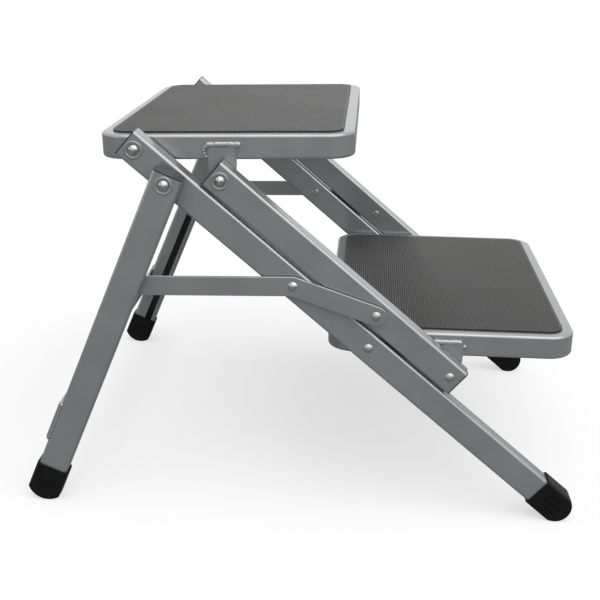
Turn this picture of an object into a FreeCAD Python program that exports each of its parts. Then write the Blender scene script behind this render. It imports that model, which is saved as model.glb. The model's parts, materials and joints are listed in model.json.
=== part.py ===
import FreeCAD, Part
import math
import os
import re

import Sketcher
from FreeCAD import Placement, Rotation, Vector

# Folding two-tread caravan step. Millimetres and degrees.
# X runs forward (towards the lower tread), Y to the user's right when climbing, Z up from the floor.

# Driving dimensions

DIMENSIONS = {
    # Linkage, seen from the side
    "rail_slope": 38.75,
    "pivot_x": -175.32,
    "pivot_z": 373.6,
    "leg_pivot_at": 43.8,
    "brace_pivot_at": 204.0,
    "lower_pivot_at": 304.6,
    "link_run": 84.2,
    "link_drop": 26.2,
    "top_tilt": 3.0,
    "lower_tilt": 1.4,
    "leg_spread": 72.3,
    "brace_reach": 163.5,
    # Layers, measured outwards from the middle of the step
    "tread_half_width": 188.0,
    "bracket_thickness": 2.5,
    "side_gap": 1.7,
    "rail_depth": 21.0,
    "brace_gap": 2.4,
    "brace_thickness": 3.0,
    "leg_gap": 2.7,
    "leg_depth": 18.0,
    "face_play": 0.1,
    # Tubes
    "rail_width": 30.0,
    "rail_overhang": 10.2,
    "rail_length": 582.0,
    "link_overhang": 10.4,
    "tube_wall": 1.5,
    "tube_corner": 3.0,
    "leg_width": 30.0,
    "leg_overhang": 9.8,
    "leg_length": 360.0,
    "slot_width": 9.0,
    "slot_offset": 5.1,
    "slot_start": 115.4,
    # End plugs
    "plug_flange": 1.2,
    "plug_insert": 5.0,
    "plug_play": 0.1,
    # Feet
    "foot_wall": 2.0,
    "front_foot_rim": 543.6,
    "front_foot_centre": 570.2,
    "front_foot_dome": 17.5,
    "rear_foot_rim": 330.5,
    "rear_foot_centre": 348.35,
    "rear_foot_dome": 21.5,
    "foot_edge": 3.5,
    "foot_floor_depth": 30.0,
    "flute_start": 10.0,
    "flute_pitch": 6.7,
    "flute_width": 2.2,
    "flute_depth": 0.8,
    # Treads
    "tread_back": 42.4,
    "tread_front": 212.7,
    "tread_rise": 10.1,
    "hoop_height": 24.8,
    "hoop_width": 11.0,
    "hoop_wall": 1.5,
    "hoop_edge": 3.0,
    "hoop_corner": 28.0,
    "panel_sheet": 1.2,
    "panel_sink": 1.0,
    "panel_flange": 3.7,
    "mat_gap": 0.5,
    "mat_thickness": 3.0,
    "rib_pitch": 2.5,
    "rib_depth": 0.8,
    "rib_margin": 2.0,
    # Brackets
    "bracket_half_width": 14.0,
    "bracket_top": 28.5,
    "bracket_shoulder": 11.0,
    "bracket_end": 12.5,
    "bracket_corner": 4.0,
    # Brace and its stud
    "brace_width": 20.0,
    "brace_edge": 0.6,
    "brace_crook": 20.0,
    "stud_radius": 2.6,
    "stud_collar_radius": 4.6,
    "stud_collar": 1.8,
    "stud_head_radius": 5.5,
    "stud_head": 2.5,
    "stud_peen": 1.0,
    # Rear stretcher
    "stretcher_start": 258.0,
    "stretcher_width": 40.0,
    "stretcher_thickness": 3.0,
    # Rivets, washers and spacers
    "rivet_radius": 4.0,
    "rivet_play": 0.05,
    "open_play": 0.3,
    "dome_radius": 4.9,
    "dome_height": 2.0,
    "tall_dome_radius": 5.6,
    "tall_dome_height": 3.4,
    "tail_radius": 4.9,
    "tail_inner_radius": 4.6,
    "tail_height": 1.5,
    "tail_inner_height": 1.4,
    "washer_radius": 8.8,
    "washer_base": 0.8,
    "washer_rim": 1.4,
    "washer_height": 1.7,
    "spacer_radius": 7.5,
}

doc = FreeCAD.newDocument("caravan_step")
sheet = doc.addObject("Spreadsheet::Sheet", "Dims")
for row, (alias, number) in enumerate(DIMENSIONS.items(), start=1):
    sheet.set(f"A{row}", alias)
    sheet.set(f"B{row}", str(number))
    sheet.setAlias(f"B{row}", alias)
doc.recompute()

parts = {}


def formula(text):
    """A formula written with plain aliases, with each alias pointed at the sheet."""

    def point(word):
        return f"Dims.{word.group()}" if word.group() in DIMENSIONS else word.group()

    return re.sub(r"[a-z_]+", point, text)


def value(text):
    """The number that a formula gives."""
    number = sheet.evalExpression(formula(text))
    return float(getattr(number, "Value", number))


def bind(item, prop, text):
    item.setExpression(prop, formula(text))


# Bodies, sketches and features


def new_body(label):
    body = doc.addObject("PartDesign::Body", label)
    body.Label = label
    return body


def new_sketch(body, plane, lift="0", turn="0"):
    """A sketch on one of the body's own planes, lifted along the plane's normal and turned in it."""
    sketch = body.newObject("Sketcher::SketchObject", f"{body.Label}_sketch")
    support = next(item for item in body.Origin.OriginFeatures if item.Role == plane)
    sketch.AttachmentSupport = [(support, "")]
    sketch.MapMode = "FlatFace"
    sketch.AttachmentOffset = Placement(Vector(0, 0, value(lift)), Rotation(Vector(0, 0, 1), value(turn)))
    return sketch


def dimension(sketch, kind, points, text):
    """A driving constraint whose size comes from the sheet."""
    number = sketch.addConstraint(Sketcher.Constraint(kind, *points, value(text)))
    name = f"size_{number}"
    sketch.renameConstraint(number, name)
    sketch.setExpression(f"Constraints.{name}", formula(text))


def join_ends(sketch, edges):
    for first, second in zip(edges, edges[1:] + edges[:1]):
        sketch.addConstraint(Sketcher.Constraint("Coincident", first, 2, second, 1))


def add_polygon(sketch, corners):
    points = [Vector(x, y, 0) for x, y in corners]
    sides = zip(points, points[1:] + points[:1])
    edges = [sketch.addGeometry(Part.LineSegment(a, b), False) for a, b in sides]
    join_ends(sketch, edges)
    return edges


def add_rectangle(sketch, left, bottom, width, height):
    x, y, w, h = (value(text) for text in (left, bottom, width, height))
    low, right, high, back = add_polygon(sketch, [(x, y), (x + w, y), (x + w, y + h), (x, y + h)])
    for edge, kind in ((low, "Horizontal"), (right, "Vertical"), (high, "Horizontal"), (back, "Vertical")):
        sketch.addConstraint(Sketcher.Constraint(kind, edge))
    dimension(sketch, "DistanceX", (-1, 1, low, 1), left)
    dimension(sketch, "DistanceY", (-1, 1, low, 1), bottom)
    dimension(sketch, "DistanceX", (low, 1, low, 2), width)
    dimension(sketch, "DistanceY", (right, 1, right, 2), height)


def add_circle(sketch, along, across, radius):
    """A circle on the sketch's own X axis, or above it where across is given."""
    centre = Vector(value(along), value(across), 0)
    ring = sketch.addGeometry(Part.Circle(centre, Vector(0, 0, 1), value(radius)), False)
    for kind, text in (("DistanceX", along), ("DistanceY", across)):
        if text == "0":
            axis = -2 if kind == "DistanceX" else -1
            sketch.addConstraint(Sketcher.Constraint("PointOnObject", ring, 3, axis))
        else:
            dimension(sketch, kind, (-1, 1, ring, 3), text)
    dimension(sketch, "Radius", (ring,), radius)


def add_capsule(sketch, start, length, across, radius):
    """A bar with round ends, from one end's centre to the other's, along the sketch's X axis."""
    x, y, run, r = (value(text) for text in (start, across, length, radius))
    up = Vector(0, 0, 1)
    low = sketch.addGeometry(Part.LineSegment(Vector(x, y - r, 0), Vector(x + run, y - r, 0)), False)
    far_arc = Part.ArcOfCircle(Part.Circle(Vector(x + run, y, 0), up, r), -math.pi / 2, math.pi / 2)
    far = sketch.addGeometry(far_arc, False)
    high = sketch.addGeometry(Part.LineSegment(Vector(x + run, y + r, 0), Vector(x, y + r, 0)), False)
    near_arc = Part.ArcOfCircle(Part.Circle(Vector(x, y, 0), up, r), math.pi / 2, 3 * math.pi / 2)
    near = sketch.addGeometry(near_arc, False)
    edges = [low, far, high, near]
    for first, second in zip(edges, edges[1:] + edges[:1]):
        sketch.addConstraint(Sketcher.Constraint("Tangent", first, 2, second, 1))
    sketch.addConstraint(Sketcher.Constraint("Horizontal", low))
    dimension(sketch, "Radius", (far,), radius)
    dimension(sketch, "DistanceX", (near, 3, far, 3), length)
    for kind, text, axis in (("DistanceX", start, -2), ("DistanceY", across, -1)):
        if text == "0":
            sketch.addConstraint(Sketcher.Constraint("PointOnObject", near, 3, axis))
        else:
            dimension(sketch, kind, (-1, 1, near, 3), text)


def pad(body, sketch, length, symmetric=False):
    feature = body.newObject("PartDesign::Pad", f"{body.Label}_pad")
    feature.Profile = sketch
    bind(feature, "Length", length)
    if symmetric:
        feature.SideType = "Symmetric"
    doc.recompute()
    return feature


def pocket(body, sketch, length=None, reverse=False):
    """A cut right through both ways, or one of a given depth. It has to take material away."""
    before = body.Shape.Volume
    feature = body.newObject("PartDesign::Pocket", f"{body.Label}_pocket")
    feature.Profile = sketch
    if length is None:
        feature.SideType = "Symmetric"
        feature.Type = "ThroughAll"
    else:
        bind(feature, "Length", length)
        feature.Reversed = reverse
    doc.recompute()
    if not body.Shape.Volume < before:
        raise RuntimeError(f"the cut in {body.Label} takes nothing away")
    return feature


def round_edges(body, radius, wanted):
    """Fillets the edges of the body's last feature that the wanted test picks."""
    base = body.Tip
    names = [f"Edge{number}" for number, edge in enumerate(base.Shape.Edges, start=1) if wanted(edge)]
    feature = body.newObject("PartDesign::Fillet", f"{body.Label}_fillet")
    feature.Base = (base, names)
    bind(feature, "Radius", radius)
    doc.recompute()


def runs_along(axis):
    """A test for straight edges that are parallel to the given axis."""

    def test(edge):
        if edge.Curve.TypeId != "Part::GeomLine":
            return False
        return abs(abs(edge.Curve.Direction.dot(axis)) - 1) < 1e-6

    return test


def lies_at(axis, places):
    """A test for edges that lie wholly in one of the planes across the axis."""

    def test(edge):
        box = edge.BoundBox
        low = Vector(box.XMin, box.YMin, box.ZMin).dot(axis)
        high = Vector(box.XMax, box.YMax, box.ZMax).dot(axis)
        return any(abs(low - place) < 1e-4 and abs(high - place) < 1e-4 for place in places)

    return test


X_AXIS, Y_AXIS, Z_AXIS = Vector(1, 0, 0), Vector(0, 1, 0), Vector(0, 0, 1)


# Places on the linkage

rail_inner = "(tread_half_width + bracket_thickness + side_gap)"
rail_outer = f"({rail_inner} + rail_depth)"
rail_middle = f"({rail_inner} + rail_depth / 2)"
brace_inner = f"({rail_outer} + brace_gap)"
brace_outer = f"({brace_inner} + brace_thickness)"
leg_inner = f"({brace_outer} + leg_gap)"
leg_outer = f"({leg_inner} + leg_depth)"
leg_middle = f"({leg_inner} + leg_depth / 2)"
link_length = "(lower_pivot_at)"

slope = math.radians(value("rail_slope"))
leg_tilt = value("rail_slope + leg_spread")


def on_rail(distance, outwards="0"):
    """The point at a distance down the front rail from its top pivot, on the left-hand side."""
    reach = value(distance)
    x = value("pivot_x") + reach * math.cos(slope)
    z = value("pivot_z") - reach * math.sin(slope)
    return Vector(x, -value(outwards), z)


def link_step():
    """From a pivot on the front rail to the matching pivot on the link rail."""
    return Vector(value("link_run"), 0, -value("link_drop"))


def keep(label, item):
    item.Label = label
    parts[label] = item


def mirror(item, label):
    """The right-hand twin of a left-hand piece."""
    twin = doc.addObject("Part::Mirroring", label)
    twin.Source = item
    twin.Base = Vector(0, 0, 0)
    twin.Normal = Y_AXIS
    twin.Label = label
    return twin


def keep_pair(name, left):
    """A left-hand piece and its twin, each a sub-part of its own."""
    keep(f"{name}_left", left)
    keep(f"{name}_right", mirror(left, f"{name}_right"))


def keep_group(name, pieces):
    """Like fasteners from both sides as one group of separate solids."""
    twins = [mirror(piece, f"{piece.Label}_twin") for piece in pieces]
    group = doc.addObject("Part::Compound", name)
    group.Links = pieces + twins
    keep(name, group)


# Tubes


def make_tube(label, start, length, depth, width, holes):
    """A rectangular tube along local X, pierced sideways by the pivot holes."""
    body = new_body(label)
    outline = new_sketch(body, "YZ_Plane", lift=start)
    add_rectangle(outline, f"-({depth}) / 2", f"-({width}) / 2", depth, width)
    pad(body, outline, length)
    round_edges(body, "tube_corner", runs_along(X_AXIS))
    hollow = new_sketch(body, "YZ_Plane", lift=start)
    inner_depth = f"({depth}) - 2 * tube_wall"
    inner_width = f"({width}) - 2 * tube_wall"
    add_rectangle(hollow, f"-({inner_depth}) / 2", f"-({inner_width}) / 2", inner_depth, inner_width)
    pocket(body, hollow)
    for place, play in holes:
        drill = new_sketch(body, "XZ_Plane")
        add_circle(drill, place, "0", f"rivet_radius + {play}")
        pocket(body, drill)
    return body


def make_plug(label, place, inwards, depth, width):
    """A push-in end plug: a thin flange on the tube's end and a block inside the tube."""
    body = new_body(label)
    flange = new_sketch(body, "YZ_Plane", lift=place)
    add_rectangle(flange, f"-({depth}) / 2", f"-({width}) / 2", depth, width)
    cap = pad(body, flange, "plug_flange")
    cap.Reversed = inwards > 0
    doc.recompute()
    round_edges(body, "tube_corner", runs_along(X_AXIS))
    insert = new_sketch(body, "YZ_Plane", lift=place)
    slack = "2 * (tube_wall + plug_play)"
    inner_depth = f"({depth}) - {slack}"
    inner_width = f"({width}) - {slack}"
    add_rectangle(insert, f"-({inner_depth}) / 2", f"-({inner_width}) / 2", inner_depth, inner_width)
    block = pad(body, insert, "plug_insert")
    block.Reversed = inwards < 0
    doc.recompute()
    return body


rail_turn = Rotation(Y_AXIS, value("rail_slope"))
leg_turn = Rotation(Y_AXIS, leg_tilt)
top_turn = Rotation(Y_AXIS, -value("top_tilt"))
lower_turn = Rotation(Y_AXIS, -value("lower_tilt"))

rail_place = Placement(on_rail("0", rail_middle), rail_turn)
link_place = Placement(on_rail("0", rail_middle) + link_step(), rail_turn)
leg_place = Placement(on_rail("leg_pivot_at", leg_middle), leg_turn)

# Front rails
front_holes = [(place, "rivet_play") for place in ("0", "leg_pivot_at", "brace_pivot_at", "lower_pivot_at")]
rail_section = ("rail_depth", "rail_width")
front_rail = make_tube("front_rail_left", "-rail_overhang", "rail_length", *rail_section, front_holes)
front_rail.Placement = rail_place
keep_pair("front_rail", front_rail)

front_plug = make_plug("front_rail_plug", "-rail_overhang", 1, *rail_section)
front_plug.Placement = rail_place
keep_group("front_rail_plugs", [front_plug])

# Link rails
link_holes = [("0", "rivet_play"), ("brace_pivot_at", "open_play"), ("lower_pivot_at", "rivet_play")]
link_tube = f"{link_length} + 2 * link_overhang"
link_rail = make_tube("link_rail_left", "-link_overhang", link_tube, *rail_section, link_holes)
link_rail.Placement = link_place
keep_pair("link_rail", link_rail)

link_top_plug = make_plug("link_top_plug", "-link_overhang", 1, *rail_section)
link_end_plug = make_plug("link_end_plug", f"{link_length} + link_overhang", -1, *rail_section)
for plug in (link_top_plug, link_end_plug):
    plug.Placement = link_place
keep_group("link_rail_plugs", [link_top_plug, link_end_plug])

# Rear legs, each with a guide slot in its inner wall that is open at the lower end
leg_section = ("leg_depth", "leg_width")
rear_leg = make_tube("rear_leg_left", "-leg_overhang", "leg_length", *leg_section, [("0", "rivet_play")])
slot = new_sketch(rear_leg, "XZ_Plane", lift="-leg_depth / 2")
add_capsule(slot, "slot_start", "leg_length", "slot_offset", "slot_width / 2")
pocket(rear_leg, slot, "2 * tube_wall", reverse=True)
rear_leg.Placement = leg_place
keep_pair("rear_leg", rear_leg)

rear_plug = make_plug("rear_leg_plug", "-leg_overhang", 1, *leg_section)
rear_plug.Placement = leg_place
keep_group("rear_leg_plugs", [rear_plug])

# Rear stretcher, a flat bar across the back of both rear legs
stretcher = new_body("rear_stretcher")
bar = new_sketch(stretcher, "XY_Plane")
stretcher_span = f"(2 * {leg_outer})"
add_rectangle(bar, "stretcher_start", f"-{stretcher_span} / 2", "stretcher_width", stretcher_span)
bar_pad = pad(stretcher, bar, "stretcher_thickness")
bar_pad.Reversed = True
doc.recompute()
back_of_leg = leg_turn.multVec(Vector(0, 0, -value("leg_width") / 2))
stretcher.Placement = Placement(on_rail("leg_pivot_at") + back_of_leg, leg_turn)
keep("rear_stretcher", stretcher)


# Feet


def make_foot(label, depth, width, tube_end, place):
    """A rubber boot: a sleeve round the tube's end, with fluted sides and a domed sole cut flat below."""
    body = new_body(label)
    rim, centre, dome = (f"{label}_{size}" for size in ("rim", "centre", "dome"))
    half = f"(({width}) / 2 + foot_wall)"
    r, h, x0, xc = (value(text) for text in (dome, half, rim, centre))
    bulge = math.asin(min(1.0, h / r))
    shoulder = xc + r * math.cos(bulge)
    side = new_sketch(body, "XZ_Plane")
    low = side.addGeometry(Part.LineSegment(Vector(x0, -h, 0), Vector(shoulder, -h, 0)), False)
    sole_circle = Part.Circle(Vector(xc, 0, 0), Z_AXIS, r)
    sole = side.addGeometry(Part.ArcOfCircle(sole_circle, -bulge, bulge), False)
    high = side.addGeometry(Part.LineSegment(Vector(shoulder, h, 0), Vector(x0, h, 0)), False)
    back = side.addGeometry(Part.LineSegment(Vector(x0, h, 0), Vector(x0, -h, 0)), False)
    join_ends(side, [low, sole, high, back])
    side.addConstraint(Sketcher.Constraint("Horizontal", low))
    side.addConstraint(Sketcher.Constraint("Horizontal", high))
    side.addConstraint(Sketcher.Constraint("Vertical", back))
    side.addConstraint(Sketcher.Constraint("PointOnObject", sole, 3, -1))
    dimension(side, "DistanceX", (-1, 1, sole, 3), centre)
    dimension(side, "DistanceX", (-1, 1, back, 2), rim)
    dimension(side, "DistanceY", (back, 2, back, 1), f"2 * {half}")
    if h < r:
        dimension(side, "Radius", (sole,), dome)
    pad(body, side, f"({depth}) + 2 * foot_wall", symmetric=True)
    outside = f"(({depth}) / 2 + foot_wall)"
    faces = [sign * value(outside) for sign in (-1, 1)]
    flank = lies_at(Y_AXIS, faces)
    round_edges(body, "foot_edge", lambda edge: flank(edge) and edge.BoundBox.XMax > x0 + 1e-3)
    flutes = new_sketch(body, "YZ_Plane", lift=f"{rim} + flute_start")
    for row in (-1, 0, 1):
        bottom = f"{row} * flute_pitch - flute_width / 2"
        for wall in (f"-{outside}", outside):
            add_rectangle(flutes, f"{wall} - flute_depth", bottom, "2 * flute_depth", "flute_width")
    pocket(body, flutes, f"{centre} + {dome} / 3 - {rim} - flute_start", reverse=True)
    sleeve = new_sketch(body, "YZ_Plane", lift=rim)
    add_rectangle(sleeve, f"-({depth}) / 2", f"-({width}) / 2", depth, width)
    pocket(body, sleeve, f"({tube_end}) - ({rim})", reverse=True)
    body.Placement = place
    floor = doc.addObject("Part::Box", f"{label}_floor")
    for side_name in ("Length", "Width", "Height"):
        bind(floor, side_name, "3 * foot_floor_depth")
    reach = 1.5 * value("foot_floor_depth")
    contact = place.multVec(Vector(xc, 0, 0))
    floor.Placement = Placement(Vector(contact.x - reach, contact.y - reach, -2 * reach), Rotation())
    foot = doc.addObject("Part::Cut", label + "_flat")
    foot.Base = body
    foot.Tool = floor
    doc.recompute()
    return foot


rail_end = "rail_length - rail_overhang"
front_foot = make_foot("front_foot", *rail_section, rail_end, rail_place)
keep_pair("front_foot", front_foot)

leg_end = "leg_length - leg_overhang"
rear_foot = make_foot("rear_foot", *leg_section, leg_end, leg_place)
keep_pair("rear_foot", rear_foot)


# Treads

tread_depth = "(tread_back + tread_front)"
tread_width = "(2 * tread_half_width)"
hoop_bottom = "(tread_rise - hoop_height)"
panel_top = "(tread_rise - panel_sink)"


def make_slab(body, inset, corner, bottom, height):
    """A rectangular slab with rounded corners, set in from the tread's outline."""
    outline = new_sketch(body, "XY_Plane", lift=bottom)
    left = f"-(tread_back - ({inset}))"
    low = f"-(tread_half_width - ({inset}))"
    add_rectangle(outline, left, low, f"{tread_depth} - 2 * ({inset})", f"{tread_width} - 2 * ({inset})")
    pad(body, outline, height)
    round_edges(body, corner, runs_along(Z_AXIS))


def cut_slab(body, inset, corner, bottom, height):
    """Takes a rounded slab out of a body, upwards from its bottom."""
    hole = new_body(f"{body.Label}_hole")
    make_slab(hole, inset, corner, bottom, height)
    cut = doc.addObject("Part::Cut", f"{body.Label}_cut")
    cut.Base = body
    cut.Tool = hole
    doc.recompute()
    return cut


def make_ring(label, inset, width, bottom, height, edge=None):
    """A closed rounded-rectangle ring of plain section."""
    body = new_body(label)
    make_slab(body, inset, f"hoop_corner - ({inset})", bottom, height)
    if edge:
        rims = [value(bottom), value(bottom) + value(height)]
        round_edges(body, edge, lies_at(Z_AXIS, rims))
    inner = f"({inset}) + ({width})"
    start = f"{bottom} - hoop_height"
    return cut_slab(body, inner, f"hoop_corner - ({inner})", start, f"({height}) + 2 * hoop_height")


def make_hoop(label):
    """The tread's frame: a bent tube, hollow, with a rivet hole through each side."""
    outside = make_ring(f"{label}_outside", "0", "hoop_width", hoop_bottom, "hoop_height", "hoop_edge")
    inside = make_ring(
        f"{label}_inside",
        "hoop_wall",
        "hoop_width - 2 * hoop_wall",
        f"{hoop_bottom} + hoop_wall",
        "hoop_height - 2 * hoop_wall",
    )
    tube = doc.addObject("Part::Cut", f"{label}_tube")
    tube.Base = outside
    tube.Tool = inside
    drill = doc.addObject("Part::Cylinder", f"{label}_drill")
    bind(drill, "Radius", "rivet_radius + rivet_play")
    bind(drill, "Height", f"{tread_width} + 2 * hoop_width")
    drill.Placement = Placement(Vector(0, value("tread_half_width + hoop_width"), 0), Rotation(X_AXIS, 90))
    hoop = doc.addObject("Part::Cut", label)
    hoop.Base = tube
    hoop.Tool = drill
    doc.recompute()
    return hoop


def make_panel(label):
    """The sheet-metal pan that fills the hoop, with its rim turned down."""
    body = new_body(f"{label}_blank")
    corner = "hoop_corner - hoop_width + mat_gap"
    bottom = f"{panel_top} - panel_flange"
    make_slab(body, "hoop_width", corner, bottom, "panel_flange")
    hollow = "hoop_width + panel_sheet"
    return cut_slab(body, hollow, corner, f"{bottom} - panel_flange", "2 * panel_flange - panel_sheet")


def make_mat(label):
    """The rubber mat, with fine ribs across the tread cut as a row of V grooves."""
    body = new_body(label)
    inset = "(hoop_width + mat_gap)"
    make_slab(body, inset, f"hoop_corner - {inset}", panel_top, "mat_thickness")
    top = value(f"{panel_top} + mat_thickness")
    first = value(f"-(tread_back - {inset}) + rib_margin")
    half = value("rib_pitch") / 2
    groove = new_sketch(body, "XZ_Plane")
    valley = (first + half, top - value("rib_depth"))
    edges = add_polygon(groove, [(first, top), valley, (first + 2 * half, top)])
    groove.addConstraint(Sketcher.Constraint("Horizontal", edges[2]))
    groove.addConstraint(Sketcher.Constraint("Equal", edges[0], edges[1]))
    dimension(groove, "DistanceX", (edges[0], 1, edges[1], 2), "rib_pitch")
    dimension(groove, "DistanceY", (edges[0], 2, edges[0], 1), "rib_depth")
    dimension(groove, "DistanceY", (-1, 1, edges[0], 1), f"{panel_top} + mat_thickness")
    dimension(groove, "DistanceX", (-1, 1, edges[0], 1), f"-(tread_back - {inset}) + rib_margin")
    cut = pocket(body, groove)
    grooved = value(f"{tread_depth} - 2 * {inset} - 2 * rib_margin")
    count = int(grooved / value("rib_pitch"))
    ribs = body.newObject("PartDesign::LinearPattern", f"{label}_ribs")
    ribs.Originals = [cut]
    along = next(item for item in body.Origin.OriginFeatures if item.Role == "X_Axis")
    ribs.Direction = (along, [""])
    ribs.Occurrences = count
    bind(ribs, "Length", f"{count - 1} * rib_pitch")
    body.Tip = ribs
    doc.recompute()
    return body


def make_bracket(label, play):
    """The welded tongue that carries the link rail: wide at the weld, tapering to a round end."""
    body = new_body(label)
    wide, top, knee, r = (value(f"bracket_{part}") for part in ("half_width", "top", "shoulder", "end"))
    far = math.hypot(wide, knee)
    touch = math.atan2(knee, wide) - math.acos(r / far)
    outline = new_sketch(body, "XZ_Plane")
    tip = Vector(r * math.cos(touch), r * math.sin(touch), 0)
    tip_left = Vector(-tip.x, tip.y, 0)
    right = [tip, Vector(wide, knee, 0), Vector(wide, top, 0)]
    left = [Vector(-wide, top, 0), Vector(-wide, knee, 0), tip_left]
    corners = right + left
    edges = [outline.addGeometry(Part.LineSegment(a, b), False) for a, b in zip(corners, corners[1:])]
    end_circle = Part.Circle(Vector(0, 0, 0), Z_AXIS, r)
    end = outline.addGeometry(Part.ArcOfCircle(end_circle, math.pi - touch, 2 * math.pi + touch), False)
    for first, second in zip(edges, edges[1:]):
        outline.addConstraint(Sketcher.Constraint("Coincident", first, 2, second, 1))
    outline.addConstraint(Sketcher.Constraint("Tangent", edges[-1], 2, end, 1))
    outline.addConstraint(Sketcher.Constraint("Tangent", end, 2, edges[0], 1))
    outline.addConstraint(Sketcher.Constraint("Coincident", end, 3, -1, 1))
    outline.addConstraint(Sketcher.Constraint("Vertical", edges[1]))
    outline.addConstraint(Sketcher.Constraint("Symmetric", edges[2], 1, edges[2], 2, -2))
    outline.addConstraint(Sketcher.Constraint("Symmetric", edges[1], 1, edges[3], 2, -2))
    dimension(outline, "Radius", (end,), "bracket_end")
    dimension(outline, "DistanceX", (edges[2], 2, edges[2], 1), "2 * bracket_half_width")
    dimension(outline, "DistanceY", (-1, 1, edges[2], 1), "bracket_top")
    dimension(outline, "DistanceY", (-1, 1, edges[1], 1), "bracket_shoulder")
    pad(body, outline, "bracket_thickness", symmetric=True)

    def top_corner(edge):
        return runs_along(Y_AXIS)(edge) and abs(edge.BoundBox.ZMax - top) < 1e-4

    round_edges(body, "bracket_corner", top_corner)
    drill = new_sketch(body, "XZ_Plane")
    add_circle(drill, "0", "0", f"rivet_radius + {play}")
    pocket(body, drill)
    return body


def make_spacer(label, thickness, play="rivet_play"):
    """A plain ring on a pivot, between two sliding layers."""
    body = new_body(label)
    ring = new_sketch(body, "XZ_Plane")
    add_circle(ring, "0", "0", "spacer_radius")
    add_circle(ring, "0", "0", f"rivet_radius + {play}")
    pad(body, ring, thickness, symmetric=True)
    return body


def build_tread(name, pivot, turn, bracket_play):
    """One tread about its pivot on the front rail. The two treads differ only in how far they lean back."""
    at_pivot = Placement(pivot, turn)
    for label, piece in (
        (f"{name}_step_frame", make_hoop(f"{name}_step_frame")),
        (f"{name}_step_panel", make_panel(f"{name}_step_panel")),
        (f"{name}_step_mat", make_mat(f"{name}_step_mat")),
    ):
        piece.Placement = at_pivot
        keep(label, piece)
    bracket = make_bracket(f"{name}_bracket_left", bracket_play)
    out = -value("tread_half_width + bracket_thickness / 2")
    bracket.Placement = Placement(pivot + link_step() + Vector(0, out, 0), turn)
    keep_pair(f"{name}_bracket", bracket)
    thickness = "bracket_thickness + side_gap - face_play"
    spacer = make_spacer(f"{name}_spacer", thickness)
    beside = Vector(0, -value(f"tread_half_width + ({thickness}) / 2"), 0)
    spacer.Placement = Placement(pivot + beside, Rotation())
    keep_group(f"{name}_step_spacers", [spacer])


build_tread("top", on_rail("0"), top_turn, "rivet_play")
build_tread("lower", on_rail("lower_pivot_at"), lower_turn, "open_play")


# Braces: a flat bar bent at the front rail, with a stud that slides in the rear leg's slot.
# The long arm is parallel to the upper tread.

brace_bend = math.degrees(math.atan2(value("link_drop"), value("link_run"))) + value("top_tilt")
link_span = "sqrt(link_run * link_run + link_drop * link_drop)"



def is_crook(edge):
    """A test for the sharp edge inside the bend, across the bar's thickness under the front pivot."""
    middle = edge.BoundBox.Center
    return runs_along(Y_AXIS)(edge) and abs(middle.x) < value("brace_width / 2") and middle.z < 0


brace = new_body("brace_strap_left")
long_arm = new_sketch(brace, "XZ_Plane")
add_capsule(long_arm, "-brace_reach", "brace_reach", "0", "brace_width / 2")
pad(brace, long_arm, "brace_thickness", symmetric=True)
short_arm = new_sketch(brace, "XZ_Plane", turn=str(-brace_bend))
add_capsule(short_arm, "0", link_span, "0", "brace_width / 2")
pad(brace, short_arm, "brace_thickness", symmetric=True)
brace_faces = [sign * value("brace_thickness / 2") for sign in (-1, 1)]
round_edges(brace, "brace_crook", is_crook)
round_edges(brace, "brace_edge", lies_at(Y_AXIS, brace_faces))
for arm_turn, place, radius in (
    ("0", "0", "rivet_radius + rivet_play"),
    (str(-brace_bend), link_span, "rivet_radius + rivet_play"),
    ("0", "-brace_reach", "stud_radius + rivet_play"),
):
    drill = new_sketch(brace, "XZ_Plane", turn=arm_turn)
    add_circle(drill, place, "0", radius)
    pocket(brace, drill)
brace_middle = f"({brace_inner} + brace_thickness / 2)"
brace.Placement = Placement(on_rail("brace_pivot_at", brace_middle), top_turn)
keep_pair("brace_strap", brace)


# Turned pieces: each profile is a list of (radius, height) points, with heights measured inwards


def make_turned(label, profile, dome=None):
    """A piece turned about local Y. A dome replaces the first corner by an arc that bulges outwards."""
    body = new_body(label)
    sketch = new_sketch(body, "XY_Plane")
    points = [Vector(value(r), value(y), 0) for r, y in profile]
    edges = [sketch.addGeometry(Part.LineSegment(a, b), False) for a, b in zip(points, points[1:])]
    if dome:
        crown = Vector(0, value(profile[0][1]) - value(dome), 0)
        foot = points[0]
        radius = (foot.x ** 2 + value(dome) ** 2) / (2 * value(dome))
        middle = Vector(0, crown.y + radius, 0)
        half_angle = math.atan2(foot.x, middle.y - foot.y)
        mid_point = middle + Vector(radius * math.sin(half_angle / 2), -radius * math.cos(half_angle / 2), 0)
        edges.insert(0, sketch.addGeometry(Part.Arc(crown, mid_point, foot), False))
        closing = (points[-1], crown)
    else:
        closing = (points[-1], points[0])
    edges.append(sketch.addGeometry(Part.LineSegment(*closing), False))
    sketch.addConstraint(Sketcher.Constraint("Block", edges[0]))
    for edge in edges[1:]:
        sketch.addConstraint(Sketcher.Constraint("Block", edge))
    turn = body.newObject("PartDesign::Revolution", f"{label}_turn")
    turn.Profile = sketch
    turn.ReferenceAxis = (sketch, ["V_Axis"])
    turn.Angle = 360
    doc.recompute()
    return body


def make_rivet(label, grip, dome, tail):
    """A domed rivet with its head's seat at local Y = 0 and its shank pointing inwards."""
    reach = f"({grip})"
    profile = [
        (f"{dome}_radius", "0"),
        ("rivet_radius", "0"),
        ("rivet_radius", reach),
        (f"{tail}_radius", reach),
        (f"{tail}_radius", f"{reach} + {tail}_height / 2"),
        (f"{tail}_radius - {tail}_height / 2", f"{reach} + {tail}_height"),
        ("0", f"{reach} + {tail}_height"),
    ]
    return make_turned(label, profile, dome=f"{dome}_height")


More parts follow.
